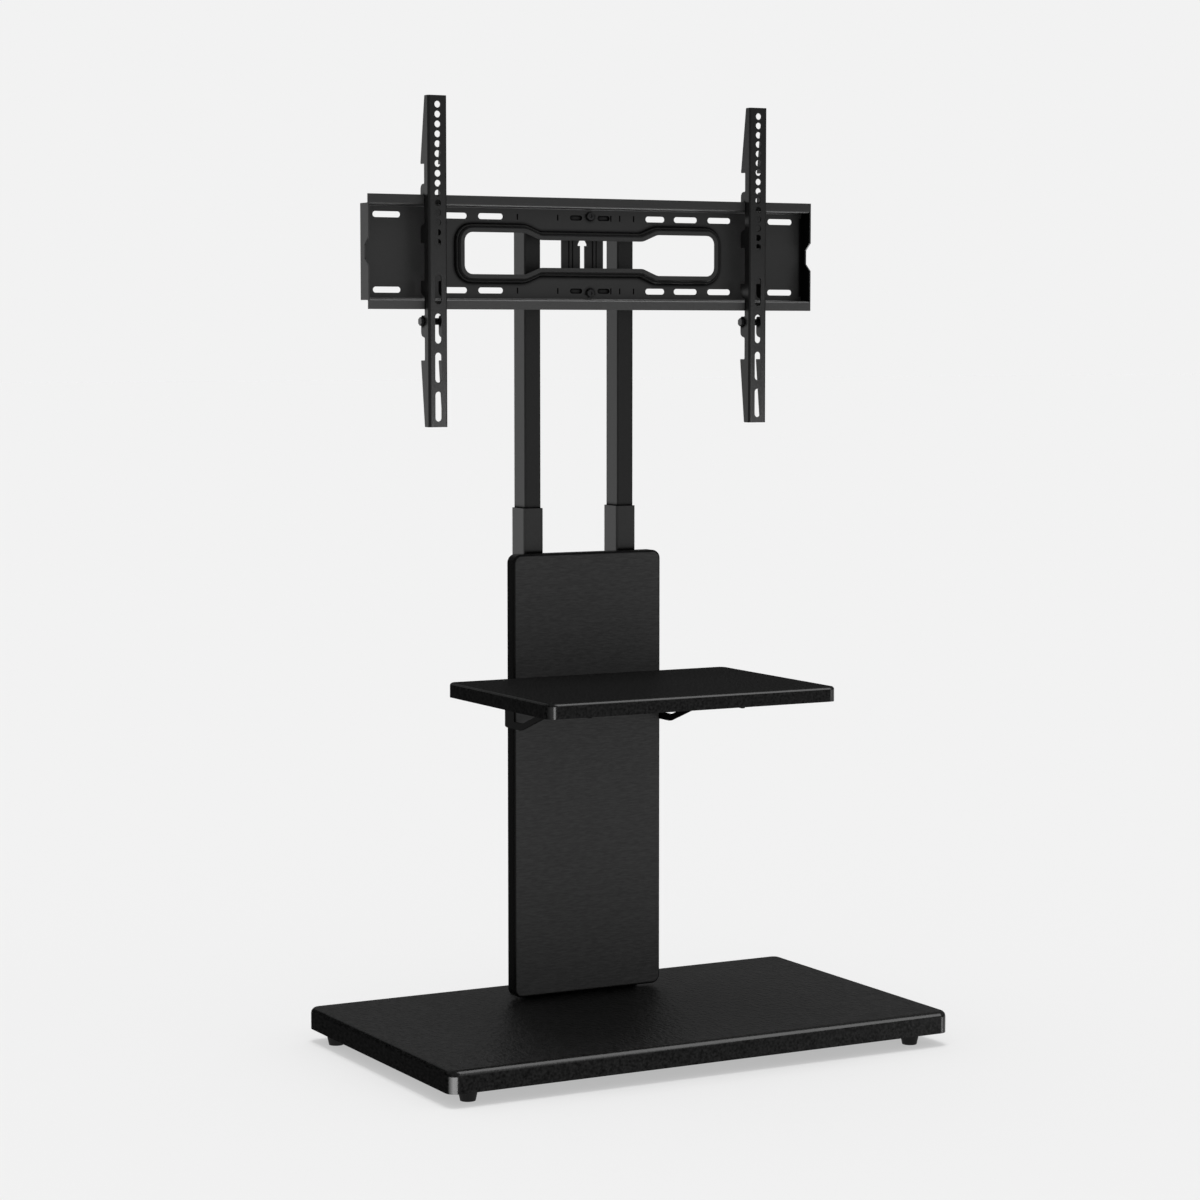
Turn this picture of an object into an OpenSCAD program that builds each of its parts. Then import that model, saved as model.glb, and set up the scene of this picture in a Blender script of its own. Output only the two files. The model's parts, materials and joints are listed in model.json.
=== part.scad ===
// Floor stand for a flat screen: a base board on four feet, a twin-post column
// that telescopes, a front panel with a shelf, and a swivelling pressed plate
// that carries two slotted arms for the screen.
// X runs to the right, Y to the back and Z up. The origin is on the floor under
// the centre of the base board.

/* [Base board] */
// Width of the base board
base_w = 760; // [600:10:900]
// Depth of the base board
base_d = 450; // [400:10:600]
// Thickness of the base board
base_t = 30; // [22:1:40]
// Plan radius of the base board's corners
base_corner_r = 14; // [10:1:40]
// Rounding of the base board's top edge
base_edge_r = 8; // [2:1:9]

/* [Feet] */
// Height of a foot
foot_h = 18; // [8:1:30]
// Radius of a foot under the board
foot_top_r = 14; // [11:1:20]
// Radius of a foot on the floor
foot_floor_r = 10; // [8:1:18]
// Distance of a front foot's axis from the board's left or right end
foot_inset_x = 42; // [25:1:60]
// Distance of a front foot's axis from the board's front
foot_inset_y = 35; // [25:1:60]
// Distance of a rear foot's axis from the board's left or right end
rear_foot_inset_x = 24; // [22:1:60]
// Distance of a rear foot's axis from the board's back
rear_foot_inset_y = 42; // [25:1:60]

/* [Column] */
// Distance of the posts' axes from the back of the base board
post_inset = 69; // [55:1:110]
// Distance between the axes of the two posts
post_spacing = 146; // [130:1:170]
// Width of an outer post
outer_w = 30; // [26:1:36]
// Depth of an outer post
outer_d = 40; // [34:1:50]
// Wall of an outer post
outer_wall = 2; // [1.5:0.1:2.5]
// Corner radius of an outer post
outer_r = 4; // [3:0.5:6]
// Length of an outer post
outer_l = 678; // [560:1:760]
// Gap all round between an inner and an outer post
post_gap = 0.5; // [0.3:0.1:1]
// Wall of an inner post
inner_wall = 1.5; // [1:0.1:2]
// Length of an inner post
inner_l = 706; // [640:1:760]
// Length of an inner post that is inside its outer post
insertion = 294; // [230:1:330]
// Thickness of the steel plate under the posts
foot_plate_t = 6; // [4:1:10]
// Width of the plate under the posts
foot_plate_w = 184; // [178:1:220]
// Height of a brace between the outer posts
brace_h = 40; // [38:1:60]
// Depth of a brace between the outer posts
brace_d = 20; // [14:1:30]
// Wall of the braces and crossbars
brace_wall = 1.5; // [1:0.1:2]
// Distance of the lower brace's middle above the foot plate
brace_low_z = 74; // [40:1:120]
// Distance of the upper brace's middle under the top of the outer posts
brace_drop = 104; // [90:1:140]

/* [Front panel] */
// Width of the front panel
panel_w = 232; // [225:1:280]
// Height of the front panel
panel_h = 618; // [540:1:640]
// Thickness of the front panel
panel_t = 20; // [15:1:25]
// Radius of the front panel's corners
panel_corner_r = 12; // [8:1:25]
// Rounding of the front panel's front edge
panel_edge_r = 4; // [2:0.5:6]
// Gap between the front panel and the base board
panel_lift = 4; // [0.5:0.5:10]

/* [Shelf] */
// Height of the shelf's underside above the floor
shelf_z = 480; // [400:1:520]
// Width of the shelf
shelf_w = 438; // [300:1:560]
// Depth of the shelf
shelf_d = 300; // [250:1:320]
// Thickness of the shelf
shelf_t = 20; // [18:1:30]
// Plan radius of the shelf's corners
shelf_corner_r = 12; // [8:1:30]
// Rounding of the shelf's top edge
shelf_edge_r = 4; // [2:0.5:7]
// Thickness of a shelf bracket's sheet
bracket_t = 2.5; // [2:0.1:4]
// Depth of a shelf bracket's blade at the column
bracket_h = 50; // [46:1:70]
// Depth of a shelf bracket's blade at its nose
bracket_nose_h = 12; // [8:1:24]
// Reach of a shelf bracket in front of the panel
bracket_reach = 228; // [180:1:240]
// Width of the flange under the shelf
bracket_flange_w = 24; // [18:1:40]

/* [Head] */
// Distance of the plate's middle under the tops of the inner posts
head_drop = 62.5; // [60:0.5:80]
// Side of a crossbar between the inner posts
crossbar_side = 20; // [16:1:26]
// Distance between the two crossbars
crossbar_spacing = 81; // [78:1:90]
// Width of the swivel bracket
swivel_w = 65; // [54:1:80]
// Depth of the swivel bracket's channel
swivel_d = 16; // [12:1:24]
// Thickness of the swivel bracket's sheet
swivel_t = 2.5; // [2:0.1:3]
// Height of the swivel bracket between its ears
swivel_h = 75; // [70:1:78]
// Thickness of the ears and lugs of the swivel
ear_t = 3; // [2.5:0.1:4]
// Radius of the rounded end of an ear
ear_r = 8; // [7:0.5:9]
// Radius of the swivel's pivot pins
pivot_r = 4; // [3:0.1:5]
// Width of a lug on the back of the plate
lug_w = 90; // [70:1:120]

/* [Mount plate] */
// Width of the mount plate
plate_w = 690; // [640:1:760]
// Height of the mount plate over its two lips
plate_h = 152; // [150:1:170]
// Height of a lip of the mount plate
lip_h = 14; // [12:0.5:16]
// Depth of the mount plate from lip to back
plate_d = 25; // [22:1:32]
// Thickness of the plate's and the arms' sheet
sheet_t = 2; // [1.5:0.1:2.2]
// Inner radius of the bends in the plate and the arms
bend_r = 1.5; // [1:0.1:2]
// Depth of the notch in each end wall
notch_d = 12; // [8:1:14]
// Height of the notch's floor
notch_floor_h = 19; // [14:1:24]
// Height of the notch's mouth
notch_mouth_h = 39; // [34:1:50]
// Distance of a row of slots from the plate's middle
row_z = 50; // [49:0.5:52]
// Width of a slot in the plate
slot_w = 8; // [7:0.5:9]

/* [Window] */
// Width of the dog-bone window
window_w = 391; // [360:1:400]
// Height of the window at its two ends
window_h = 56.5; // [50:0.5:57]
// Height of the window's neck
neck_h = 37.5; // [30:0.5:44]
// Length of the window's neck
neck_w = 160; // [150:1:180]
// Length over which the window widens at each end of its neck
neck_slope = 23; // [18:1:30]
// Radius of the window's corners
window_r = 12; // [8:1:16]
// Width of the drawn rim round the window
rim_w = 12; // [10:0.5:12.5]
// Height of the drawn rim round the window
rim_h = 7.5; // [5:0.5:8]

/* [Arms] */
// Distance between the middles of the two arms
arm_spacing = 498.5; // [400:0.5:520]
// Length of an arm
arm_l = 440; // [425:1:460]
// Width of an arm
arm_w = 28; // [24:1:32]
// Depth of an arm's flanges where they are narrow
arm_narrow_d = 13.2; // [11:0.1:15]
// Depth of an arm's flanges at the widest tabs
arm_wide_d = 24.5; // [22:0.5:25]
// Radius of the round holes in an arm
hole_r = 4.5; // [3.5:0.1:5]
// Distance between the round holes
hole_pitch = 13; // [12:0.5:13.5]
// Least distance between the long slots and the lowest round hole
hole_margin = 42; // [36:1:60]
// Distance of the first hole from the top of an arm
hole_first = 12; // [10:0.5:14]
// Length of a long slot in an arm
arm_slot_l = 40; // [30:1:42]
// Width of a long slot in an arm
arm_slot_w = 9.5; // [7:0.5:11]
// Distance between the long slots
arm_slot_pitch = 52; // [48:1:54]
// Distance of the lowest slot's middle from the bottom of an arm
arm_slot_end = 27.5; // [24:0.5:34]
// Number of long slots
arm_slot_count = 4; // [3:1:4]

/* [Fasteners] */
// Radius of the base bolts
base_bolt_r = 4; // [3:0.5:5]
// Radius of the panel and shelf bracket bolts
frame_bolt_r = 3; // [2.5:0.5:4]
// Radius of the wood screws
screw_r = 2; // [1.5:0.1:2.5]
// Radius of the height lock bolts
lock_bolt_r = 4; // [3:0.5:5]
// Radius of the lug bolts
lug_bolt_r = 2.5; // [2:0.1:3]
// Radius of the safety bolts
safety_bolt_r = 3; // [2.5:0.1:3.5]

/* [Hidden] */
$fn = 48;

// Colours of the finishes
steel_black = [0.11, 0.11, 0.12];
board_black = [0.06, 0.06, 0.07];
rubber_black = [0.04, 0.04, 0.04];
plastic_black = [0.09, 0.09, 0.09];
bolt_black = [0.16, 0.16, 0.17];

// How far a cutting shape runs past the face that it cuts
over = 1;
// Radial play of a bolt, screw or pin in its hole
fit_play = 0.05;
// Play of a bolt in a hole that only guides it
bolt_play = 0.5;
// Rounding of bolt heads
head_round = 1;
// Depth of the driver recess as a share of a head's height
recess_share = 0.5;
// Width of the driver recess as a share of a head's radius
recess_width_share = 0.5;

// Heights of the base and column
base_top = foot_h + base_t;
plinth_top = base_top + foot_plate_t;
outer_top = plinth_top + outer_l;
inner_top = outer_top - insertion + inner_l;

// Outer posts
post_x = post_spacing / 2;
post_y = base_d / 2 - post_inset;
outer_front = post_y - outer_d / 2;
outer_back = post_y + outer_d / 2;
outer_cavity_r = outer_r - outer_wall;

// Inner posts
inner_w = outer_w - 2 * outer_wall - 2 * post_gap;
inner_d = outer_d - 2 * outer_wall - 2 * post_gap;
inner_r = 3;
inner_front = post_y - inner_d / 2;
inner_back = post_y + inner_d / 2;

// Plate under the posts, which ends behind the front panel
foot_plate_back_margin = 1;
foot_plate_front_gap = 0.5;
foot_plate_r = 6;

// Front panel, held off the outer posts by the shelf brackets' sheet
panel_back = outer_front - bracket_t;
panel_front = panel_back - panel_t;
panel_bottom = base_top + panel_lift;
foot_plate_front = panel_back + foot_plate_front_gap;
foot_plate_back = outer_back + foot_plate_back_margin;

// Base bolts and their counterbores under the board
base_bolt_x = 45;
base_bolt_margin = 11;
base_bolt_ys = [foot_plate_front + base_bolt_margin, foot_plate_back - base_bolt_margin];
base_head_r = 6.5;
base_head_h = 5;
base_washer_r = 8;
base_washer_t = 1.6;
counterbore_r = 9.5;
counterbore_d = 8;

// Feet and their screws
front_foot = [base_w / 2 - foot_inset_x, foot_inset_y - base_d / 2];
rear_foot = [base_w / 2 - rear_foot_inset_x, base_d / 2 - rear_foot_inset_y];
foot_recess_r = 5.5;
foot_recess_d = 5;
foot_head_r = 4.5;
foot_head_h = 2.5;
foot_screw_bite = 16;

// Braces
brace_shelf_z = shelf_z - bracket_h / 2;
brace_lower_z = plinth_top + brace_low_z;
brace_upper_z = outer_top - brace_drop;
brace_back = outer_front + brace_d;

// Bolts that hold the front panel and the shelf brackets on the braces
frame_bolt_x = 40;
frame_head_r = 5.5;
frame_head_h = 3.5;
panel_bolt_bite = 12;
spacer_r = 7;
bracket_bolt_rise = 12;

// Height lock
lock_drop = 30;
lock_nut_r = 7;
lock_nut_h = 5;
lock_head_r = 6.5;
lock_head_h = 4.5;
lock_tip_gap = 0.3;

// Shelf and its brackets
shelf_gap = 0.5;
shelf_back = panel_front - shelf_gap;
blade_gap = 0.5;
blade_in = panel_w / 2 + blade_gap;
blade_out = blade_in + bracket_t;
bracket_tab_in = 20;
bracket_heel = 26;
bracket_taper = 108;
bracket_corner_r = 6;
bracket_nose = panel_front - bracket_reach;
bracket_bar = 10;
bracket_post_bar = 27;
opening_heel = 3.5;
opening_corner_r = 3;
flange_end_gap = 8;
flange_screw_margin = 18;
shelf_screw_bite = 13;
shelf_head_r = 3.8;
shelf_head_h = 2;

// Head
plate_z = inner_top - head_drop;
crossbar_front = post_y - crossbar_side / 2;
crossbar_l = post_spacing - inner_w;
web_front = crossbar_front - swivel_d;
swivel_gap = 1;
axis_y = web_front - ear_r - swivel_gap;
lug_gap = 2.5;
plate_back = axis_y - ear_r - lug_gap;
ear_root_w = 44;
cap_t = 3;
cap_plug_l = 12;
cap_play = 0.1;
cap_r = 2.5;

// Swivel bracket
tab_end = (crossbar_spacing + crossbar_side) / 2;
tab_h = 22.5;
bead_x = 18.5;
bead_w = 5;
bead_rise = 1.2;
bead_r = (bead_w * bead_w / 4 + bead_rise * bead_rise) / (2 * bead_rise);
bead_back_r = 1.4;
bead_margin = 8;
groove_w = 1.2;
groove_deep = 0.8;
key_stem_w = 7.4;
key_stem_h = 40;
key_head_w = 14.6;
key_head_h = 8.4;
key_top_w = 8;
key_slope_h = 6;
key_rise = 21;

// Lugs and pivots, above and below the swivel bracket's ears
washer_t = 1.5;
lug_ear_z = swivel_h / 2 + washer_t;
lug_top_gap = 1.5;
pivot_head_r = 6.5;
pivot_head_h = 4.5;
pivot_nut_r = 6.9;
pivot_nut_h = 6;
pivot_nut_gap = 0.3;
pivot_tail = 1.5;
lug_bolt_z = 53;
lug_head_r = 5.5;
lug_head_h = 3.5;
lug_nut_r = 4.6;
lug_nut_h = 4;
lug_bolt_tail = 1;

// Mount plate
lip_front = plate_back - plate_d;
face_front = plate_back - sheet_t;
wall_z = plate_h / 2 - lip_h + sheet_t;
bend_out = bend_r + sheet_t;

// Slots along one row: middle and length, to the right of the plate's middle
end_slot = [307.5, 41];
outer_slot = [207, 38];
inner_slot = [152.5, 38];
near_slot = [103.5, 31];
lug_slot = [21.5, 19];
lug_slot_w = 7;
mirrored_slots = [end_slot, outer_slot, inner_slot];

// Pressed marks along a row
mark_w = 2;
mark_h = 8;
mark_deep = 1.2;
mark_xs = [-112, -50, 33, 47, 69];

// Drawn rim: its steps as shares of the rim's width and height
rim_step_shares = [[1, 0], [0.84, 0.5], [0.68, 0.5], [0.46, 1], [0, 1]];
rim_lap = 0.3;
rim_corner_r = 18;
slope_angle = atan2((window_h - neck_h) / 2, neck_slope);

// Arms: heights along an arm, from its bottom
arm_x = arm_spacing / 2;
lip_play = 0.4;
hook_rest = 0.3;
hook_z = 309.5;
arm_front = lip_front - lip_play - arm_narrow_d;
arm_bottom = plate_z + plate_h / 2 + hook_rest - hook_z;
hook_slot_d = arm_narrow_d + sheet_t + 2 * lip_play;
finger_l = 10.5;
ear_top_z = 323.5;
tail_d = 14;
tail_h = 89;
tail_wide_d = 25;
lock_ear_low = 119;
lock_ear_top = 149;
low_pad = [174, 195];
high_pad = [245, 271];
top_tab_z = 350;
top_d = 11.5;
slots_top = arm_slot_end + (arm_slot_count - 1) * arm_slot_pitch + arm_slot_l / 2;
hole_count = floor((arm_l - hole_first - slots_top - hole_margin) / hole_pitch) + 1;
small_r = 1.5;
ear_round_r = 7;

// Safety bolt across an arm
safety_z = 141;
safety_depth = 19;
safety_head_r = 5.8;
safety_head_h = 4.5;
safety_nut_r = 5.8;
safety_nut_h = 5;
safety_tail = 1;
spacer_wall = 1.6;

// Unit vector along v
function unit(v) = v / norm(v);

// Vector v turned by angle a
function turned(v, a) = [v.x * cos(a) - v.y * sin(a), v.x * sin(a) + v.y * cos(a)];

// Arc that rounds one corner of an outline
function corner_arc(before, corner, after, r, steps) =
    r == 0 ? [corner] :
    let (
        to_before = unit(before - corner),
        to_after = unit(after - corner),
        half = acos(to_before * to_after) / 2,
        centre = corner + unit(to_before + to_after) * r / sin(half),
        first = corner + to_before * r / tan(half) - centre,
        last = corner + to_after * r / tan(half) - centre,
        sweep = (180 - 2 * half) * sign(cross(first, last))
    )
    [for (i = [0 : steps]) centre + turned(first, sweep * i / steps)];

// Outline with each corner rounded by its own radius; a corner is [x, y, radius]
function rounded(corners, steps = 6) = [
    for (i = [0 : len(corners) - 1])
    let (
        n = len(corners),
        before = corners[(i + n - 1) % n],
        here = corners[i],
        after = corners[(i + 1) % n]
    )
    each corner_arc([before.x, before.y], [here.x, here.y], [after.x, after.y], here.z, steps)
];

// Dog-bone outline, moved outwards by e
function dogbone(e) =
    let (
        shift = e * tan(slope_angle / 2),
        x_end = window_w / 2 + e,
        z_end = window_h / 2 + e,
        z_neck = neck_h / 2 + e,
        x_neck = neck_w / 2 - shift,
        x_open = neck_w / 2 + neck_slope - shift,
        quarter = [
            [x_neck, z_neck, rim_corner_r - e],
            [x_open, z_end, rim_corner_r + e],
            [x_end, z_end, window_r + e]
        ]
    )
    rounded([
        for (i = [0 : 2]) quarter[i],
        for (i = [2 : -1 : 0]) [quarter[i].x, -quarter[i].y, quarter[i].z],
        for (i = [0 : 2]) [-quarter[i].x, -quarter[i].y, quarter[i].z],
        for (i = [2 : -1 : 0]) [-quarter[i].x, quarter[i].y, quarter[i].z]
    ], 5);

// Stands a flat outline of depth and height up across X, centred on X
module across(width) {
    rotate([90, 0, 90])
        linear_extrude(width, center = true)
            children();
}

// Lays an outline of width and height out along Y, from y = 0 backwards
module along_depth(depth) {
    translate([0, depth, 0])
        rotate([90, 0, 0])
            linear_extrude(depth)
                children();
}

// Half section of a round piece whose top edge is rounded
module round_half(r, t, edge_r) {
    square([r - edge_r, t]);
    square([r, t - edge_r]);
    translate([r - edge_r, t - edge_r])
        intersection() {
            circle(edge_r);
            square(edge_r);
        }
}

// Section of a board whose two top edges are rounded
module board_section(w, t, edge_r) {
    translate([-w / 2, 0])
        square([w, t - edge_r]);
    translate([edge_r - w / 2, 0])
        square([w - 2 * edge_r, t]);
    for (side = [-1, 1])
        translate([side * (w / 2 - edge_r), t - edge_r])
            circle(edge_r);
}

// Board on the XY plane with round corners and a rounded top edge
module board(w, d, t, corner_r, edge_r) {
    rotate([90, 0, 0])
        linear_extrude(d - 2 * corner_r, center = true)
            board_section(w, t, edge_r);
    across(w - 2 * corner_r)
        board_section(d, t, edge_r);
    for (sx = [-1, 1], sy = [-1, 1])
        translate([sx * (w / 2 - corner_r), sy * (d / 2 - corner_r), 0])
            rotate_extrude()
                round_half(corner_r, t, edge_r);
}

// Rectangle with round corners, centred
module round_rect(w, d, r) {
    square([w - 2 * r, d], center = true);
    square([w, d - 2 * r], center = true);
    for (sx = [-1, 1], sy = [-1, 1])
        translate([sx * (w / 2 - r), sy * (d / 2 - r)])
            circle(r);
}

// Rectangular tube along Z
module tube(w, d, wall, r, l) {
    linear_extrude(l)
        difference() {
            round_rect(w, d, r);
            round_rect(w - 2 * wall, d - 2 * wall, r - wall);
        }
}

// Rectangular tube along X, centred
module cross_tube(l, h, d, wall) {
    across(l)
        difference() {
            square([d, h], center = true);
            square([d - 2 * wall, h - 2 * wall], center = true);
        }
}

// Cutter for a slot through a sheet that faces Y; it runs along X
module slot_x(l, w, depth) {
    rotate([-90, 0, 0])
        linear_extrude(depth)
            union() {
                square([l - w, w], center = true);
                for (side = [-1, 1])
                    translate([side * (l - w) / 2, 0])
                        circle(w / 2);
            }
}

// Bolt along Z with a socket head; its shank hangs below z = 0
module bolt(head_r, head_h, shank_r, shank_l) {
    difference() {
        rotate_extrude()
            round_half(head_r, head_h, head_round);
        translate([0, 0, head_h * (1 - recess_share)])
            cylinder(h = head_h, r = head_r * recess_width_share, $fn = 6);
    }
    translate([0, 0, -shank_l])
        cylinder(h = shank_l, r = shank_r);
}

// Bolt along Z with a hexagon head; its shank hangs below z = 0
module hex_bolt(head_r, head_h, shank_r, shank_l) {
    cylinder(h = head_h, r = head_r, $fn = 6);
    translate([0, 0, -shank_l])
        cylinder(h = shank_l, r = shank_r);
}

// Ring along Z
module ring(outer, inner, h) {
    difference() {
        cylinder(h = h, r = outer);
        translate([0, 0, -over])
            cylinder(h = h + 2 * over, r = inner);
    }
}

// Hexagon nut along Z
module hex_nut(r, bore_r, h) {
    difference() {
        cylinder(h = h, r = r, $fn = 6);
        translate([0, 0, -over])
            cylinder(h = h + 2 * over, r = bore_r);
    }
}

// Quarter of a sheet's bend, in the corner where x and y are positive
module quarter_bend() {
    intersection() {
        difference() {
            circle(bend_out);
            circle(bend_r);
        }
        square(bend_out);
    }
}

// Places of the four feet, the base bolts and the panel bolts
module at_feet() {
    for (sx = [-1, 1], place = [front_foot, rear_foot])
        translate([sx * place.x, place.y, 0])
            children();
}

module at_base_bolts() {
    for (sx = [-1, 1], y = base_bolt_ys)
        translate([sx * base_bolt_x, y, 0])
            children();
}

module at_panel_bolts() {
    for (sx = [-1, 1], z = [brace_lower_z, brace_upper_z])
        translate([sx * frame_bolt_x, 0, z])
            children();
}

module at_bracket_bolts(sx) {
    for (rise = [-1, 1])
        translate([sx * frame_bolt_x, 0, brace_shelf_z + rise * bracket_bolt_rise])
            children();
}

// Places of the screws in one shelf bracket's flange
module at_shelf_screws(sx) {
    flange_front = bracket_nose + flange_screw_margin;
    flange_back = shelf_back - flange_end_gap - flange_screw_margin;
    for (share = [0, 0.5, 1])
        translate([
            sx * (blade_out - bracket_flange_w / 2),
            flange_front + share * (flange_back - flange_front),
            shelf_z - bracket_t
        ])
            children();
}

// Base board, bored for the bolts and for the foot screws
module base_board() {
    color(board_black)
        difference() {
            translate([0, 0, foot_h])
                board(base_w, base_d, base_t, base_corner_r, base_edge_r);
            at_base_bolts() {
                translate([0, 0, foot_h - over])
                    cylinder(h = base_t + 2 * over, r = base_bolt_r + bolt_play);
                translate([0, 0, foot_h - over])
                    cylinder(h = counterbore_d + over, r = counterbore_r);
            }
            at_feet()
                translate([0, 0, foot_h - over])
                    cylinder(h = foot_screw_bite + 2 * over, r = screw_r + fit_play);
        }
}

// One tapered rubber foot with a recess for its screw
module foot(sx, place) {
    color(rubber_black)
        translate([sx * place.x, place.y, 0])
            difference() {
                cylinder(h = foot_h, r1 = foot_floor_r, r2 = foot_top_r);
                translate([0, 0, -over])
                    cylinder(h = foot_recess_d + over, r = foot_recess_r);
                translate([0, 0, -over])
                    cylinder(h = foot_h + 2 * over, r = screw_r + fit_play);
            }
}

// Screws that hold the feet, driven up into the board
module foot_screws() {
    color(bolt_black)
        at_feet()
            translate([0, 0, foot_recess_d])
                mirror([0, 0, 1])
                    bolt(foot_head_r, foot_head_h, screw_r, foot_h - foot_recess_d + foot_screw_bite);
}

// Steel plate that both outer posts stand on
module foot_plate() {
    depth = foot_plate_back - foot_plate_front;
    color(steel_black)
        difference() {
            translate([0, foot_plate_front + depth / 2, base_top])
                linear_extrude(foot_plate_t)
                    round_rect(foot_plate_w, depth, foot_plate_r);
            at_base_bolts()
                translate([0, 0, base_top - over])
                    cylinder(h = foot_plate_t + 2 * over, r = base_bolt_r + fit_play);
        }
}

// Bolts from under the board into the foot plate
module base_bolts() {
    seat = foot_h + counterbore_d - base_washer_t;
    color(bolt_black)
        at_base_bolts()
            translate([0, 0, seat])
                mirror([0, 0, 1])
                    bolt(base_head_r, base_head_h, base_bolt_r, plinth_top - seat);
}

// Washers under the heads of the base bolts
module base_washers() {
    color(bolt_black)
        at_base_bolts()
            translate([0, 0, foot_h + counterbore_d - base_washer_t])
                ring(base_washer_r, base_bolt_r + fit_play, base_washer_t);
}

// Outer post, with a hole in its back wall for the height lock bolt
module outer_post(sx) {
    color(steel_black)
        difference() {
            translate([sx * post_x, post_y, plinth_top])
                tube(outer_w, outer_d, outer_wall, outer_r, outer_l);
            translate([sx * post_x, post_y, outer_top - lock_drop])
                rotate([-90, 0, 0])
                    cylinder(h = outer_d / 2 + over, r = lock_bolt_r + fit_play);
        }
}

// Brace between the outer posts, level with their front faces
module brace(z) {
    color(steel_black)
        difference() {
            translate([0, outer_front + brace_d / 2, z])
                cross_tube(post_spacing - outer_w, brace_h, brace_d, brace_wall);
            at_panel_bolts()
                brace_hole();
            for (sx = [-1, 1])
                at_bracket_bolts(sx)
                    brace_hole();
        }
}

// Cutter for a bolt through a brace
module brace_hole() {
    translate([0, outer_front - over, 0])
        rotate([-90, 0, 0])
            cylinder(h = brace_d + 2 * over, r = frame_bolt_r + fit_play);
}

// Threaded bosses for the height lock bolts, on the backs of the outer posts
module height_lock_nuts() {
    color(steel_black)
        for (sx = [-1, 1])
            translate([sx * post_x, outer_back, outer_top - lock_drop])
                rotate([-90, 0, 0])
                    ring(lock_nut_r, lock_bolt_r + fit_play, lock_nut_h);
}

// Bolts that clamp the inner posts at the chosen height
module height_lock_bolts() {
    seat = outer_back + lock_nut_h;
    color(bolt_black)
        for (sx = [-1, 1])
            translate([sx * post_x, seat, outer_top - lock_drop])
                rotate([-90, 0, 0])
                    bolt(lock_head_r, lock_head_h, lock_bolt_r, seat - inner_back - lock_tip_gap);
}

// Front panel, bored from behind for its bolts
module front_panel() {
    color(board_black)
        difference() {
            translate([0, panel_back, panel_bottom + panel_h / 2])
                rotate([90, 0, 0])
                    board(panel_w, panel_h, panel_t, panel_corner_r, panel_edge_r);
            at_panel_bolts()
                translate([0, panel_back - panel_bolt_bite - over, 0])
                    rotate([-90, 0, 0])
                        cylinder(h = panel_bolt_bite + 2 * over, r = frame_bolt_r + fit_play);
        }
}

// Spacers between the front panel and the braces
module panel_spacers() {
    color(plastic_black)
        at_panel_bolts()
            translate([0, panel_back, 0])
                rotate([-90, 0, 0])
                    ring(spacer_r, frame_bolt_r + fit_play, bracket_t);
}

// Bolts from behind the braces into the front panel
module panel_bolts() {
    color(bolt_black)
        at_panel_bolts()
            translate([0, brace_back, 0])
                rotate([-90, 0, 0])
                    bolt(frame_head_r, frame_head_h, frame_bolt_r, brace_back - panel_back + panel_bolt_bite);
}

// Shelf board, with pilot holes for its screws
module shelf_board() {
    color(board_black)
        difference() {
            translate([0, shelf_back - shelf_d / 2, shelf_z])
                board(shelf_w, shelf_d, shelf_t, shelf_corner_r, shelf_edge_r);
            for (sx = [-1, 1])
                at_shelf_screws(sx)
                    cylinder(h = bracket_t + shelf_screw_bite + over, r = screw_r + fit_play);
        }
}

// Outline of a shelf bracket's blade, seen from the side
module blade_outline() {
    low = shelf_z - bracket_h;
    nose = shelf_z - bracket_nose_h;
    heel = panel_front - bracket_heel;
    polygon(rounded([
        [outer_front, shelf_z, 0],
        [outer_front, low, bracket_corner_r],
        [heel, low, bracket_corner_r * 4],
        [heel - bracket_taper, nose, bracket_corner_r * 4],
        [bracket_nose, nose, bracket_corner_r],
        [bracket_nose, shelf_z, 0]
    ]));
}

// Three-cornered opening that leaves bars round the edge of a blade
module blade_opening() {
    low = shelf_z - bracket_h + bracket_bar;
    top = shelf_z - bracket_bar;
    rise = (bracket_h - bracket_nose_h) / bracket_taper;
    heel = panel_front - bracket_heel - opening_heel;
    polygon(rounded([
        [outer_front - bracket_post_bar, low, opening_corner_r],
        [outer_front - bracket_post_bar, top, opening_corner_r],
        [heel - (top - low) / rise, top, opening_corner_r / 2],
        [heel, low, opening_corner_r]
    ]));
}

// Bent sheet that carries one end of the shelf: a tab behind the panel, a
// blade with an opening past the panel's side and a flange under the board
module shelf_bracket(sx) {
    tab_w = blade_out - bracket_tab_in;
    flange_l = shelf_back - flange_end_gap - bracket_nose;
    color(steel_black)
        difference() {
            union() {
                translate([sx * (blade_in + bracket_t / 2), 0, 0])
                    across(bracket_t)
                        difference() {
                            blade_outline();
                            blade_opening();
                        }
                translate([sx * (blade_out - tab_w / 2), panel_back, shelf_z - bracket_h / 2])
                    along_depth(bracket_t)
                        round_rect(tab_w, bracket_h, bracket_t);
                translate([
                    sx * (blade_out - bracket_flange_w / 2),
                    bracket_nose + flange_l / 2,
                    shelf_z - bracket_t
                ])
                    linear_extrude(bracket_t)
                        round_rect(bracket_flange_w, flange_l, bracket_t);
            }
            at_bracket_bolts(sx)
                translate([0, panel_back - over, 0])
                    rotate([-90, 0, 0])
                        cylinder(h = bracket_t + 2 * over, r = frame_bolt_r + fit_play);
            at_shelf_screws(sx)
                translate([0, 0, -over])
                    cylinder(h = bracket_t + 2 * over, r = screw_r + fit_play);
        }
}

// Bolts that hold the shelf brackets on their brace
module shelf_bracket_bolts() {
    color(bolt_black)
        for (sx = [-1, 1])
            at_bracket_bolts(sx)
                translate([0, brace_back, 0])
                    rotate([-90, 0, 0])
                        bolt(frame_head_r, frame_head_h, frame_bolt_r, brace_back - panel_back);
}

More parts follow.
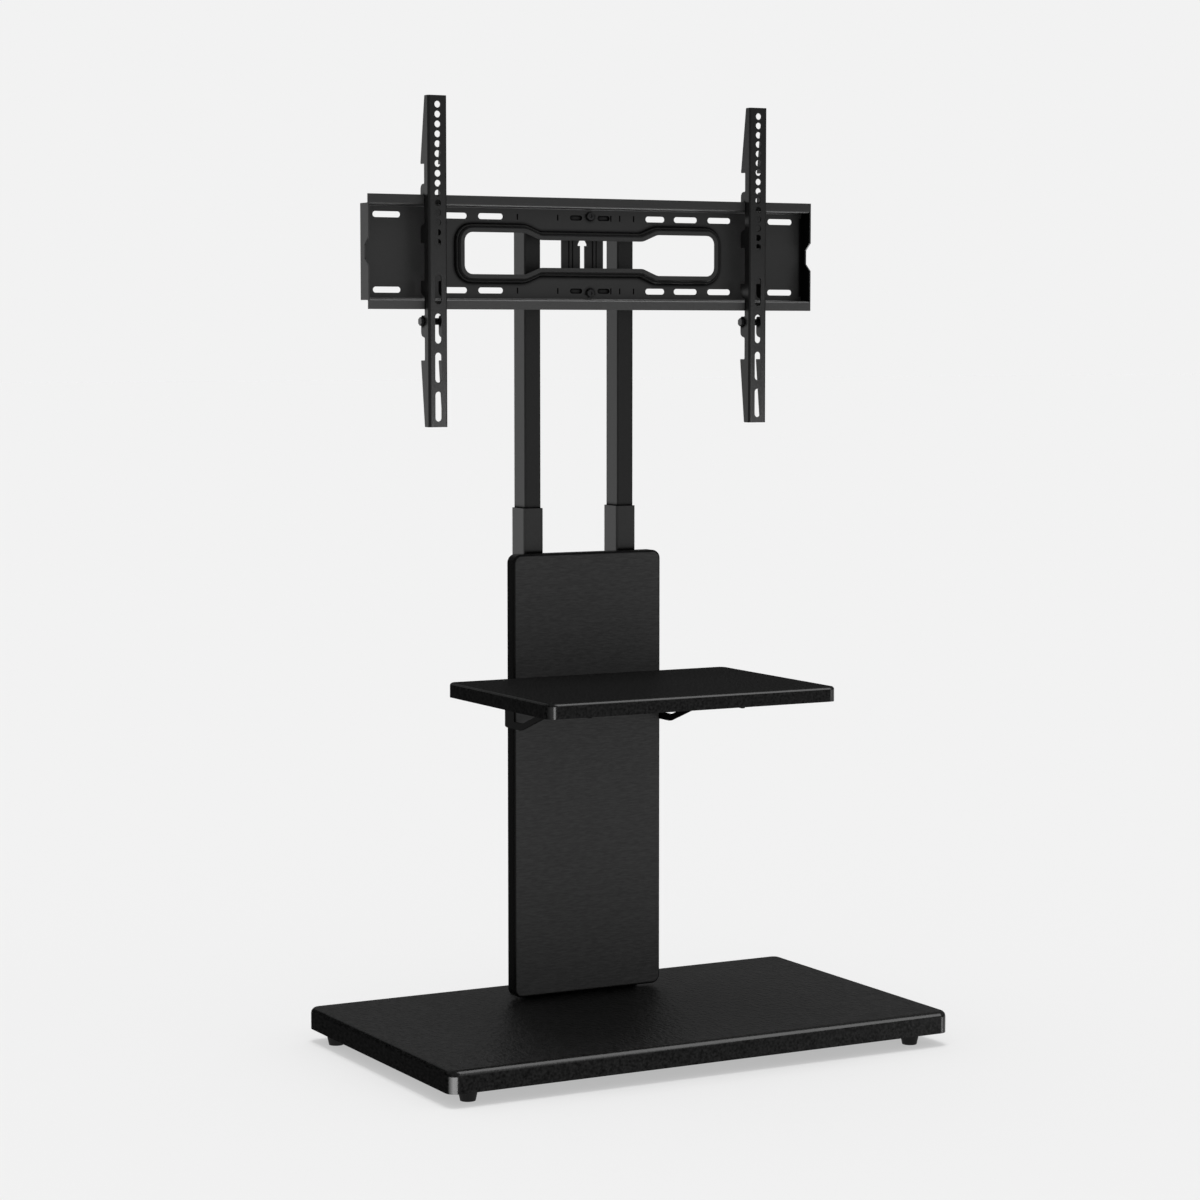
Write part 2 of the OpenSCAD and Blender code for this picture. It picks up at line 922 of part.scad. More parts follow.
// Screws up through the brackets' flanges into the shelf
module shelf_screws() {
    color(bolt_black)
        for (sx = [-1, 1])
            at_shelf_screws(sx)
                mirror([0, 0, 1])
                    bolt(shelf_head_r, shelf_head_h, screw_r, bracket_t + shelf_screw_bite);
}

// Inner post, which telescopes in the outer post
module inner_post(sx) {
    color(steel_black)
        translate([sx * post_x, post_y, inner_top - inner_l])
            tube(inner_w, inner_d, inner_wall, inner_r, inner_l);
}

// Plastic plug in the top of an inner post
module post_cap(sx) {
    plug_play = 2 * inner_wall + 2 * cap_play;
    color(plastic_black)
        translate([sx * post_x, post_y, inner_top]) {
            linear_extrude(cap_t)
                round_rect(inner_w, inner_d, cap_r);
            translate([0, 0, -cap_plug_l])
                linear_extrude(cap_plug_l)
                    round_rect(inner_w - plug_play, inner_d - plug_play, inner_wall);
        }
}

// Crossbar between the inner posts; side is 1 for the upper and -1 for the lower
module crossbar(side) {
    color(steel_black)
        translate([0, post_y, plate_z + side * crossbar_spacing / 2])
            cross_tube(crossbar_l, crossbar_side, crossbar_side, brace_wall);
}

// Flat ear with a round end about the swivel axis; it grows from root_y
module ear(root_y) {
    linear_extrude(ear_t)
        difference() {
            union() {
                translate([0, axis_y])
                    circle(ear_r);
                polygon([
                    [-ear_root_w / 2, root_y],
                    [ear_root_w / 2, root_y],
                    [ear_r, axis_y],
                    [-ear_r, axis_y]
                ]);
            }
            translate([0, axis_y])
                circle(pivot_r + fit_play);
        }
}

// Half-round front of a bead pressed forward in the bracket's web
module bead_ridge() {
    intersection() {
        translate([0, bead_r - bead_rise])
            circle(bead_r);
        translate([-bead_w / 2, -bead_rise])
            square([bead_w, bead_rise + swivel_t / 2]);
    }
}

// Grooves on both sides of a bead and the hollow behind it
module bead_grooves() {
    for (side = [-1, 1])
        translate([side * (bead_w + groove_w) / 2, 0])
            square([groove_w, 2 * groove_deep], center = true);
    translate([0, swivel_t])
        circle(bead_back_r);
}

// Fixed half of the swivel: a web held off the crossbars by four tabs, with an
// ear at each end
module swivel_bracket() {
    bead_l = swivel_h - 2 * bead_margin;
    color(steel_black)
        translate([0, 0, plate_z])
            difference() {
                union() {
                    translate([-swivel_w / 2, web_front, -swivel_h / 2])
                        cube([swivel_w, swivel_t, swivel_h]);
                    for (left = [-swivel_w / 2, swivel_w / 2 - swivel_t], end = [0, 1])
                        mirror([0, 0, end])
                            translate([left, web_front, tab_end - tab_h])
                                cube([swivel_t, swivel_d, tab_h]);
                    for (side = [-1, 1])
                        translate([side * bead_x, web_front, -bead_l / 2])
                            linear_extrude(bead_l)
                                bead_ridge();
                    for (end = [0, 1])
                        mirror([0, 0, end])
                            translate([0, 0, swivel_h / 2 - ear_t])
                                ear(web_front + swivel_t);
                }
                for (side = [-1, 1])
                    translate([side * bead_x, web_front, -bead_l / 2])
                        linear_extrude(bead_l)
                            bead_grooves();
                translate([0, web_front - over, 0])
                    along_depth(swivel_t + 2 * over)
                        keyhole();
            }
}

// Tee-shaped keyhole in the swivel bracket's web, about the plate's middle
module keyhole() {
    translate([-key_stem_w / 2, key_rise - key_stem_h])
        square([key_stem_w, key_stem_h]);
    polygon([
        [-key_head_w / 2, key_rise - key_head_h],
        [key_head_w / 2, key_rise - key_head_h],
        [key_head_w / 2, key_rise - key_slope_h],
        [key_top_w / 2, key_rise],
        [-key_top_w / 2, key_rise],
        [-key_head_w / 2, key_rise - key_slope_h]
    ]);
}

// Puts what is drawn for the upper pivot at the upper or the lower pivot
module at_pivot(side) {
    translate([0, 0, plate_z])
        mirror([0, 0, side > 0 ? 0 : 1])
            children();
}

// Moving half of the swivel: an angle on the back of the mount plate
module swivel_lug(side) {
    base_h = wall_z - lug_top_gap - lug_ear_z;
    color(steel_black)
        at_pivot(side)
            difference() {
                union() {
                    translate([-lug_w / 2, plate_back, lug_ear_z])
                        cube([lug_w, ear_t, base_h]);
                    translate([0, 0, lug_ear_z])
                        ear(plate_back + ear_t);
                }
                translate([0, plate_back - over, lug_bolt_z])
                    rotate([-90, 0, 0])
                        cylinder(h = ear_t + 2 * over, r = lug_bolt_r + fit_play);
            }
}

// Pivot pin through a lug and an ear
module pivot_pin(side) {
    grip = ear_t + washer_t + ear_t + pivot_nut_gap + pivot_nut_h + pivot_tail;
    color(bolt_black)
        at_pivot(side)
            translate([0, axis_y, lug_ear_z + ear_t])
                bolt(pivot_head_r, pivot_head_h, pivot_r, grip);
}

// Washers between the lugs and the ears
module pivot_washers() {
    color(plastic_black)
        for (side = [-1, 1])
            at_pivot(side)
                translate([0, axis_y, swivel_h / 2])
                    ring(ear_r, pivot_r + fit_play, washer_t);
}

// Lock nuts on the pivot pins
module pivot_nuts() {
    color(bolt_black)
        for (side = [-1, 1])
            at_pivot(side)
                translate([0, axis_y, swivel_h / 2 - ear_t - pivot_nut_gap - pivot_nut_h])
                    hex_nut(pivot_nut_r, pivot_r + fit_play, pivot_nut_h);
}

// Upper half of the plate's section, from the lip's front and the plate's middle
module half_section() {
    lip_root = wall_z + bend_r;
    wall_in = wall_z - sheet_t;
    translate([plate_d - sheet_t, 0])
        square([sheet_t, wall_in - bend_r]);
    translate([plate_d - bend_out, wall_in - bend_r])
        quarter_bend();
    translate([bend_out, wall_in])
        square([plate_d - 2 * bend_out, sheet_t]);
    translate([bend_out, lip_root])
        rotate(180)
            quarter_bend();
    translate([0, lip_root])
        square([sheet_t, plate_h / 2 - lip_root]);
}

// End wall of the plate with its notch, seen from the side
module end_wall_outline() {
    difference() {
        translate([0, -wall_z])
            square([plate_d, 2 * wall_z]);
        polygon([
            [-over, -notch_mouth_h / 2],
            [0, -notch_mouth_h / 2],
            [notch_d, -notch_floor_h / 2],
            [notch_d, notch_floor_h / 2],
            [0, notch_mouth_h / 2],
            [-over, notch_mouth_h / 2]
        ]);
    }
}

// Rim drawn up round the window: loops of the outline joined into one skin
module drawn_rim() {
    front = [for (s = rim_step_shares) [rim_w * s.x, rim_h * s.y]];
    back = [for (i = [len(front) - 1 : -1 : 0]) [front[i].x, front[i].y - sheet_t]];
    section = concat(front, back);
    loops = [for (s = section) [for (p = dogbone(s.x)) [p.x, -s.y, p.y]]];
    n = len(loops[0]);
    m = len(loops);
    polyhedron(
        points = [for (loop = loops) each loop],
        faces = [
            for (i = [0 : m - 1], k = [0 : n - 1])
            let (
                a = i * n + k,
                b = i * n + (k + 1) % n,
                c = ((i + 1) % m) * n + (k + 1) % n,
                d = ((i + 1) % m) * n + k
            )
            each [[a, b, c], [a, c, d]]
        ],
        convexity = 8
    );
}

// Cutters for the slots and marks of one row; side is 1 for the upper row
module row_cuts(side) {
    translate([0, face_front - over, side * row_z]) {
        for (s = mirrored_slots, sx = [-1, 1])
            translate([sx * s[0], 0, 0])
                slot_x(s[1], slot_w, sheet_t + 2 * over);
        translate([near_slot[0], 0, 0])
            slot_x(near_slot[1], slot_w, sheet_t + 2 * over);
        for (sx = [-1, 1])
            translate([sx * lug_slot[0], 0, 0])
                slot_x(lug_slot[1], lug_slot_w, sheet_t + 2 * over);
        for (x = mark_xs)
            translate([x - mark_w / 2, 0, -mark_h / 2])
                cube([mark_w, over + mark_deep, mark_h]);
    }
    translate([0, face_front - over, side * lug_bolt_z])
        rotate([-90, 0, 0])
            cylinder(h = sheet_t + 2 * over, r = lug_bolt_r + bolt_play);
}

// Pressed plate with folded lips, notched end walls and a rimmed window
module mount_plate() {
    color(steel_black)
        translate([0, 0, plate_z]) {
            difference() {
                translate([0, lip_front, 0]) {
                    across(plate_w) {
                        half_section();
                        mirror([0, 1])
                            half_section();
                    }
                    for (side = [-1, 1])
                        translate([side * (plate_w - sheet_t) / 2, 0, 0])
                            across(sheet_t)
                                end_wall_outline();
                }
                translate([0, face_front - over, 0])
                    along_depth(sheet_t + 2 * over)
                        polygon(dogbone(rim_w - rim_lap));
                row_cuts(1);
                row_cuts(-1);
            }
            translate([0, face_front, 0])
                drawn_rim();
        }
}

// Bolts through the plate and the lugs
module lug_bolts() {
    color(bolt_black)
        for (side = [-1, 1])
            translate([0, face_front, plate_z + side * lug_bolt_z])
                rotate([90, 0, 0])
                    bolt(lug_head_r, lug_head_h, lug_bolt_r, sheet_t + ear_t + lug_nut_h + lug_bolt_tail);
}

// Nuts on the lug bolts
module lug_nuts() {
    color(bolt_black)
        for (side = [-1, 1])
            translate([0, plate_back + ear_t, plate_z + side * lug_bolt_z])
                rotate([-90, 0, 0])
                    hex_nut(lug_nut_r, lug_bolt_r + fit_play, lug_nut_h);
}

// Channel section of an arm, from its front face backwards
module arm_section() {
    flat = arm_w / 2 - bend_out;
    translate([-flat, 0])
        square([2 * flat, sheet_t]);
    for (side = [0, 1])
        mirror([side, 0]) {
            translate([flat, bend_out])
                mirror([0, 1])
                    quarter_bend();
            translate([arm_w / 2 - sheet_t, bend_out])
                square([sheet_t, arm_wide_d + over - bend_out]);
        }
}

// Outline of an arm's flanges: tabs, hook, pads and safety ear
module flange_outline() {
    polygon(rounded([
        [-over, 0, 0],
        [tail_d, 0, small_r],
        [tail_wide_d, tail_h, small_r],
        [arm_narrow_d, tail_h, small_r],
        [arm_narrow_d, lock_ear_low, small_r],
        [arm_wide_d, lock_ear_low + small_r * 2, ear_round_r],
        [arm_wide_d, lock_ear_top, ear_round_r / 2],
        [arm_narrow_d, lock_ear_top, small_r],
        [arm_narrow_d, low_pad[0], small_r],
        [arm_wide_d, low_pad[0] + small_r * 2, ear_round_r],
        [arm_wide_d, low_pad[1], small_r],
        [arm_narrow_d, low_pad[1], small_r],
        [arm_narrow_d, high_pad[0], small_r],
        [arm_wide_d, high_pad[0], small_r],
        [arm_wide_d, high_pad[1] - small_r * 2, ear_round_r],
        [arm_narrow_d, high_pad[1], small_r],
        [arm_narrow_d, hook_z, 0],
        [hook_slot_d, hook_z, 0],
        [hook_slot_d, hook_z - finger_l, small_r],
        [arm_wide_d, hook_z - finger_l, small_r * 2],
        [arm_wide_d, ear_top_z, ear_round_r],
        [arm_narrow_d, ear_top_z, small_r],
        [arm_narrow_d, top_tab_z, small_r],
        [arm_wide_d, top_tab_z, small_r],
        [top_d, arm_l, small_r],
        [-over, arm_l, 0]
    ], 5));
}

// Screen arm: a channel that hooks over the plate's top lip
module arm(sx) {
    color(steel_black)
        translate([sx * arm_x, arm_front, arm_bottom])
            difference() {
                intersection() {
                    linear_extrude(arm_l)
                        arm_section();
                    across(arm_w + 2 * over)
                        flange_outline();
                }
                for (i = [0 : hole_count - 1])
                    translate([0, -over, arm_l - hole_first - i * hole_pitch])
                        rotate([-90, 0, 0])
                            cylinder(h = sheet_t + 2 * over, r = hole_r);
                for (i = [0 : arm_slot_count - 1])
                    translate([0, -over, arm_slot_end + i * arm_slot_pitch])
                        rotate([0, 90, 0])
                            slot_x(arm_slot_l, arm_slot_w, sheet_t + 2 * over);
                translate([-arm_w / 2 - over, safety_depth, safety_z])
                    rotate([0, 90, 0])
                        cylinder(h = arm_w + 2 * over, r = safety_bolt_r + fit_play);
            }
}

// Place of the safety bolt's axis at the left side of an arm, along X
module at_safety(sx, x) {
    translate([sx * arm_x + x, arm_front + safety_depth, arm_bottom + safety_z])
        rotate([0, 90, 0])
            children();
}

// Bolt under the plate's bottom lip that keeps an arm from lifting off
module safety_bolt(sx) {
    color(bolt_black)
        at_safety(sx, -arm_w / 2)
            mirror([0, 0, 1])
                hex_bolt(safety_head_r, safety_head_h, safety_bolt_r, arm_w + safety_nut_h + safety_tail);
}

// Spacer tube on the safety bolt between an arm's flanges
module safety_spacer(sx) {
    color(bolt_black)
        at_safety(sx, sheet_t - arm_w / 2)
            ring(safety_bolt_r + spacer_wall, safety_bolt_r + fit_play, arm_w - 2 * sheet_t);
}

// Nut on the end of the safety bolt
module safety_nut(sx) {
    color(bolt_black)
        at_safety(sx, arm_w / 2)
            hex_nut(safety_nut_r, safety_bolt_r + fit_play, safety_nut_h);
}

base_board();
foot(-1, front_foot);  // foot_front_left
foot(1, front_foot);  // foot_front_right
foot(-1, rear_foot);  // foot_back_left
foot(1, rear_foot);  // foot_back_right
foot_screws();
foot_plate();
base_bolts();
base_washers();
outer_post(-1);  // outer_post_left
outer_post(1);  // outer_post_right
brace(brace_lower_z);  // brace_lower
brace(brace_shelf_z);  // brace_shelf
brace(brace_upper_z);  // brace_upper
height_lock_nuts();
height_lock_bolts();
front_panel();
panel_spacers();
panel_bolts();
shelf_board();
shelf_bracket(-1);  // shelf_bracket_left
shelf_bracket(1);  // shelf_bracket_right
shelf_bracket_bolts();
shelf_screws();
inner_post(-1);  // inner_post_left
inner_post(1);  // inner_post_right
post_cap(-1);  // post_cap_left
post_cap(1);  // post_cap_right
crossbar(1);  // crossbar_upper
crossbar(-1);  // crossbar_lower
swivel_bracket();
swivel_lug(1);  // swivel_lug_upper
swivel_lug(-1);  // swivel_lug_lower
pivot_pin(1);  // pivot_pin_upper
pivot_pin(-1);  // pivot_pin_lower
pivot_washers();
pivot_nuts();
mount_plate();
lug_bolts();
lug_nuts();
arm(-1);  // arm_left
arm(1);  // arm_right
safety_bolt(-1);  // safety_bolt_left
safety_bolt(1);  // safety_bolt_right
safety_spacer(-1);  // safety_spacer_left
safety_spacer(1);  // safety_spacer_right
safety_nut(-1);  // safety_nut_left
safety_nut(1);  // safety_nut_right
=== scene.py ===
import json
import math
from collections import namedtuple

import bpy
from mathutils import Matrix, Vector


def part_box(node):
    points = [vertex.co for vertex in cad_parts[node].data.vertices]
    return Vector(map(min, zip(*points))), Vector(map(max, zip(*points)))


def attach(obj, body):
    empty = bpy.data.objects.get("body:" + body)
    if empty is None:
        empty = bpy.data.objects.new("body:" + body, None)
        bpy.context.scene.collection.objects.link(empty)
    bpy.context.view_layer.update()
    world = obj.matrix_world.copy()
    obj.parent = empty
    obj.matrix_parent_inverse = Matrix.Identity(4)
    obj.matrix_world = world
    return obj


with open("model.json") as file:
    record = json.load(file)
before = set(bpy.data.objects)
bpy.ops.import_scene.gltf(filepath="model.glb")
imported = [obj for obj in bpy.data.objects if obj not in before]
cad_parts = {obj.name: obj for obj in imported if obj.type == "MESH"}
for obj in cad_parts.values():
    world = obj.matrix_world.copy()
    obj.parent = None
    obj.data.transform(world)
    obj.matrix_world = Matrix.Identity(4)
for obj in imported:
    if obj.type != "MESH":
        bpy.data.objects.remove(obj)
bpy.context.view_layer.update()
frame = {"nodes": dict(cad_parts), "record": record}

MM = 0.001
scene = bpy.context.scene
nodes = frame["nodes"]


# Camera, solved from the photo's straight edges
SENSOR_WIDTH = 36
FOCAL_LENGTH = 94.92
CAMERA_PLACE = (-2.08420, -3.75145, 0.96991)
TILT_DOWN = 4.77
TURN_RIGHT = 28.55

camera_data = bpy.data.cameras.new("photo_camera")
camera_data.sensor_width = SENSOR_WIDTH
camera_data.lens = FOCAL_LENGTH
camera = bpy.data.objects.new("photo_camera", camera_data)
camera.location = CAMERA_PLACE
camera.rotation_euler = (math.radians(90 - TILT_DOWN), 0, math.radians(-TURN_RIGHT))
scene.collection.objects.link(camera)
scene.camera = camera


# Nodes of materials and of the world
def new_material(name):
    material = bpy.data.materials.new(name)
    material.use_nodes = True
    material.node_tree.nodes.clear()
    return material


def add(owner, kind, **settings):
    node = owner.node_tree.nodes.new(kind)
    for key, value in settings.items():
        setattr(node, key, value)
    return node


def link(owner, start, end):
    owner.node_tree.links.new(start, end)


def grey(value):
    return (value, value, value, 1)


def mixed(owner, mask, first, second):
    """Mixes two shaders; the mask is 0 where the first one shows."""
    mix = add(owner, "ShaderNodeMixShader")
    link(owner, mask, mix.inputs["Fac"])
    link(owner, first, mix.inputs[1])
    link(owner, second, mix.inputs[2])
    return mix.outputs["Shader"]


def combined(owner, operation, first, second):
    """A calculation with one value and another one, or a plain number."""
    node = add(owner, "ShaderNodeMath", operation=operation)
    link(owner, first, node.inputs[0])
    if isinstance(second, float):
        node.inputs[1].default_value = second
    else:
        link(owner, second, node.inputs[1])
    return node.outputs["Value"]


def risen(owner, value, start, end):
    """0 up to the start and 1 from the end, also where the end is the lower value."""
    node = add(owner, "ShaderNodeMapRange")
    node.inputs["From Min"].default_value = start
    node.inputs["From Max"].default_value = end
    link(owner, value, node.inputs["Value"])
    return node.outputs["Result"]


def part_of(owner, vector, axis):
    split = add(owner, "ShaderNodeSeparateXYZ")
    link(owner, vector, split.inputs["Vector"])
    return split.outputs[axis]


def facing(material, axis, cosines):
    """How far a face looks along an axis, to either side: 0 at the first cosine, 1 at the last."""
    geometry = add(material, "ShaderNodeNewGeometry")
    turn = add(material, "ShaderNodeMath", operation="ABSOLUTE")
    link(material, part_of(material, geometry.outputs["Normal"], axis), turn.inputs[0])
    return risen(material, turn.outputs["Value"], *cosines)


def at_height(material, comparison, share):
    """1 where the share of the piece's height is LESS_THAN or GREATER_THAN the given one."""
    place = add(material, "ShaderNodeTexCoord")
    return combined(material, comparison, part_of(material, place.outputs["Generated"], "Z"), share)


# Painted shade darkens inner corners: how far it reaches, and how open their darkest
# and their first lit places are
CORNER_SHADE_GREY = 0.003
CORNER_REACH = 6 * MM
CORNER_OPENNESS = (0.72, 0.97)


def open_part(material, reach, openness):
    """1 on open faces, 0 in inner corners as far as the reach from both sides."""
    occlusion = add(material, "ShaderNodeAmbientOcclusion")
    occlusion.inputs["Distance"].default_value = reach
    return risen(material, occlusion.outputs["AO"], *openness)


def with_painted_shade(material, shader, mask):
    """The shader where the mask is 1, and painted shade, near black and matt, where it is 0."""
    corner = add(material, "ShaderNodeBsdfDiffuse")
    corner.inputs["Color"].default_value = grey(CORNER_SHADE_GREY)
    return mixed(material, mask, corner.outputs["BSDF"], shader)


def show(material, shader):
    out = add(material, "ShaderNodeOutputMaterial")
    link(material, shader, out.inputs["Surface"])


# Finishes. The spread is how far the colour goes down and up with the grain, the
# level is the gloss, the grain is its fineness and the depth that of its bumps.
GRAIN_DETAIL = 3
DARKEST_AT, LIGHTEST_AT = 0.3, 0.7
POWDER = {"spread": 0.25, "grain": 1400, "depth": 0.06 * MM}


def finish(material, colour, spread, roughness, level, grain, depth, stretch=(1, 1, 1)):
    """A black finish whose colour and bumps follow a fine grain."""
    place = add(material, "ShaderNodeTexCoord")
    mapping = add(material, "ShaderNodeMapping")
    mapping.inputs["Scale"].default_value = stretch
    link(material, place.outputs["Object"], mapping.inputs["Vector"])
    noise = add(material, "ShaderNodeTexNoise")
    noise.inputs["Scale"].default_value = grain
    noise.inputs["Detail"].default_value = GRAIN_DETAIL
    link(material, mapping.outputs["Vector"], noise.inputs["Vector"])
    ramp = add(material, "ShaderNodeValToRGB")
    dark, light = ramp.color_ramp.elements
    dark.position, light.position = DARKEST_AT, LIGHTEST_AT
    dark.color = (*[c * (1 - spread) for c in colour], 1)
    light.color = (*[c * (1 + spread) for c in colour], 1)
    link(material, noise.outputs["Fac"], ramp.inputs["Fac"])
    bump = add(material, "ShaderNodeBump")
    bump.inputs["Strength"].default_value = 1
    bump.inputs["Distance"].default_value = depth
    link(material, noise.outputs["Fac"], bump.inputs["Height"])
    shader = add(material, "ShaderNodeBsdfPrincipled")
    shader.inputs["Roughness"].default_value = roughness
    shader.inputs["Specular IOR Level"].default_value = level
    link(material, ramp.outputs["Color"], shader.inputs["Base Color"])
    link(material, bump.outputs["Normal"], shader.inputs["Normal"])
    return shader.outputs["BSDF"]


def powder_coat(name, colour, roughness, level=0.5, reach=CORNER_REACH):
    material = new_material(name)
    shader = finish(material, colour, roughness=roughness, level=level, **POWDER)
    # Painted shade: inner corners as far as the reach turn near black and matt
    if reach:
        shader = with_painted_shade(material, shader, open_part(material, reach, CORNER_OPENNESS))
    show(material, shader)
    return material


# The plate's lips as shares of its height: the front of the lower one, and both
# with their bends. Pairs are the cosines or the openness at a mask's two ends.
LOWER_LIP_TOP = 0.088
LOWER_BEND_TOP = 0.135
UPPER_BEND_BOTTOM = 0.865
LIP_FRONT = (0.8, 0.95)
PLATE_GREY = 0.020
# The lower lip's front gets a lighter grey: painted light
LOWER_LIP_PAINTED_LIGHT_GREY = 0.046
PLATE_ROUGHNESS = 0.40
PLATE_LEVEL = 0.5
END_WALL_LEVEL = 0.3
PLATE_OPENNESS = (0.76, 0.98)
NOT_END_WALL = (0.95, 0.8)
END_WALL_REACH = 30 * MM
END_WALL_OPENNESS = (0.9, 1.0)


def plate_coat(name):
    """A coat with painted light on the lower lip's front, painted shade in small inner corners and
    on the end walls' inner faces, and less gloss on the end walls.
    """
    material = new_material(name)

    def coat(shade, level):
        return finish(material, (shade,) * 3, roughness=PLATE_ROUGHNESS, level=level, **POWDER)

    # Painted light: a lighter grey on the lower lip's front
    in_lower_lip = at_height(material, "LESS_THAN", LOWER_LIP_TOP)
    lit_lip_front = combined(material, "MULTIPLY", in_lower_lip, facing(material, "Y", LIP_FRONT))
    shader = mixed(material, lit_lip_front, coat(PLATE_GREY, PLATE_LEVEL), coat(LOWER_LIP_PAINTED_LIGHT_GREY, PLATE_LEVEL))
    # Painted shade darkens small inner corners, but not the bends of the lips
    mask = open_part(material, CORNER_REACH, PLATE_OPENNESS)
    for comparison, share in (("LESS_THAN", LOWER_BEND_TOP), ("GREATER_THAN", UPPER_BEND_BOTTOM)):
        mask = combined(material, "MAXIMUM", mask, at_height(material, comparison, share))
    shader = with_painted_shade(material, shader, mask)
    # Painted shade darkens the end walls all over their inner faces
    mask = open_part(material, END_WALL_REACH, END_WALL_OPENNESS)
    shaded_end_wall = with_painted_shade(material, coat(PLATE_GREY, END_WALL_LEVEL), mask)
    not_end_wall = facing(material, "X", NOT_END_WALL)
    show(material, mixed(material, not_end_wall, shaded_end_wall, shader))
    return material


Film = namedtuple("Film", "shade spread roughness level depth")
# How far a face looks along its axis, from its rounding to its flat part
MAIN_FACE = (0.86, 0.99)
FLAT_LONG_EDGE = (0.97, 0.998)
BOARD_END = (0.6, 0.95)


def board_film(name, face_axis, face, rounding, face_grain, edge_grain, stretch):
    """A film on a board: its main face, roundings, flat long edges, and matt ends with a darker
    grey as painted shade.
    """
    material = new_material(name)

    def film(look, grain):
        return finish(
            material, (look.shade,) * 3, look.spread, look.roughness, look.level,
            grain, look.depth, stretch,
        )

    is_face = facing(material, face_axis, MAIN_FACE)
    shader = mixed(material, is_face, film(rounding, edge_grain), film(face, face_grain))
    if face_axis != "Y":
        is_flat_edge = facing(material, "Y", FLAT_LONG_EDGE)
        shader = mixed(material, is_flat_edge, shader, film(FLAT_EDGE, edge_grain))
    # Painted shade: the ends get a darker, matt film
    is_end = facing(material, "X", BOARD_END)
    show(material, mixed(material, is_end, shader, film(END, edge_grain)))
    return material


steel = powder_coat("black_powder_coat", (0.016, 0.016, 0.0165), roughness=0.42)
steel_plate = plate_coat("plate_powder_coat")
# Posts and arms: copies of the black powder coat in greys set to each part's brightness, painted
# light and shade
steel_inner = powder_coat("inner_post_coat", (0.003,) * 3, roughness=0.42, level=0.56)
steel_outer = powder_coat("outer_post_coat", (0.022,) * 3, roughness=0.42)
steel_arm = powder_coat("arm_powder_coat", (0.008,) * 3, roughness=0.34, level=0.3)
# The brackets' near-black grey is painted shade
shaded_bracket_coat = powder_coat("bracket_painted_shade_coat", (0.003,) * 3, roughness=0.6, level=0.05)
weld_coat = powder_coat("weld_powder_coat", (0.018, 0.018, 0.0185), roughness=0.36, reach=0)
fastener = powder_coat("black_zinc", (0.014, 0.014, 0.015), roughness=0.3, reach=0)
rubber = powder_coat("foot_rubber", (0.008,) * 3, roughness=0.7, level=0.3, reach=0)
plastic = powder_coat("black_plastic", (0.010,) * 3, roughness=0.5, reach=0)

ROUNDING = Film(shade=0.005, spread=0.8, roughness=0.2, level=0.5, depth=0.1 * MM)
PANEL_ROUNDING = ROUNDING._replace(level=0.1)
FLAT_EDGE = Film(shade=0.0095, spread=0.9, roughness=0.3, level=0.06, depth=0.2 * MM)
# The ends are matt, and their grey, about half that of the flat long edges, is painted shade
END = Film(shade=0.0048, spread=0.8, roughness=0.6, level=0.008, depth=0.2 * MM)
BASE_TOP = Film(shade=0.008, spread=0.9, roughness=0.34, level=0.4, depth=2.2 * MM)
SHELF_TOP = Film(shade=0.012, spread=0.7, roughness=0.4, level=0.004, depth=1.2 * MM)
PANEL_FRONT = Film(shade=0.024, spread=0.4, roughness=0.5, level=0.5, depth=0.2 * MM)
LEATHER_GRAIN = {"face_grain": 240, "edge_grain": 300, "stretch": (1, 0.45, 1)}
FINE_GRAIN = {"face_grain": 300, "edge_grain": 300, "stretch": (1, 1, 1)}
BRUSHED_GRAIN = {"face_grain": 700, "edge_grain": 700, "stretch": (0.15, 1, 1)}
base_film = board_film("board_film", "Z", BASE_TOP, ROUNDING, **LEATHER_GRAIN)
shelf_film = board_film("shelf_film", "Z", SHELF_TOP, ROUNDING, **FINE_GRAIN)
panel_film = board_film("panel_film", "Y", PANEL_FRONT, PANEL_ROUNDING, **BRUSHED_GRAIN)

SLOT_FINISH = {
    "black_steel": steel,
    "black_board": base_film,
    "foot_rubber": rubber,
    "black_plastic": plastic,
    "black_fasteners": fastener,
}
OWN_FINISH = {
    "front_panel": panel_film,
    "shelf_board": shelf_film,
    "mount_plate": steel_plate,
    "inner_post_left": steel_inner,
    "inner_post_right": steel_inner,
    "outer_post_left": steel_outer,
    "outer_post_right": steel_outer,
    "arm_left": steel_arm,
    "arm_right": steel_arm,
    "shelf_bracket_left": shaded_bracket_coat,
    "shelf_bracket_right": shaded_bracket_coat,
}
for part in frame["record"]["subparts"]:
    piece = nodes[part["node"]]
    piece.data.materials.clear()
    piece.data.materials.append(OWN_FINISH.get(part["node"], SLOT_FINISH[part["material_slot"]]))


# Weld beads between the steel pieces. The lift is how far a bead's middle stands off
# its corner and the ripple how much it narrows between ripples, as shares of its
# radius; the end share is that of its thickness at both ends.
BEAD_R = 2 * MM
BEAD_STEP = 0.75 * MM
BEAD_SIDES = 8
BEAD_LIFT = 0.4
BEAD_RIPPLE = 0.2
BEAD_END = 0.5
STEPS_A_RIPPLE = 4


def straight(start, end, outward):
    """Places of a bead in the corner between two faces, with the directions across it."""
    start, end, outward = Vector(start), Vector(end), Vector(outward).normalized()
    across = (end - start).normalized().cross(outward)
    count = round((end - start).length / BEAD_STEP)
    lift = outward * BEAD_R * BEAD_LIFT
    return [(start.lerp(end, i / count) + lift, outward, across) for i in range(count + 1)]


def ring(middle, radius):
    """Places of a bead round a boss on the back of a post."""
    count = round(2 * math.pi * radius / BEAD_STEP)
    places = []
    for i in range(count + 1):
        angle = 2 * math.pi * i / count
        radial = Vector((math.cos(angle), 0, math.sin(angle)))
        places.append((Vector(middle) + radial * radius, Vector((0, 1, 0)), radial))
    return places


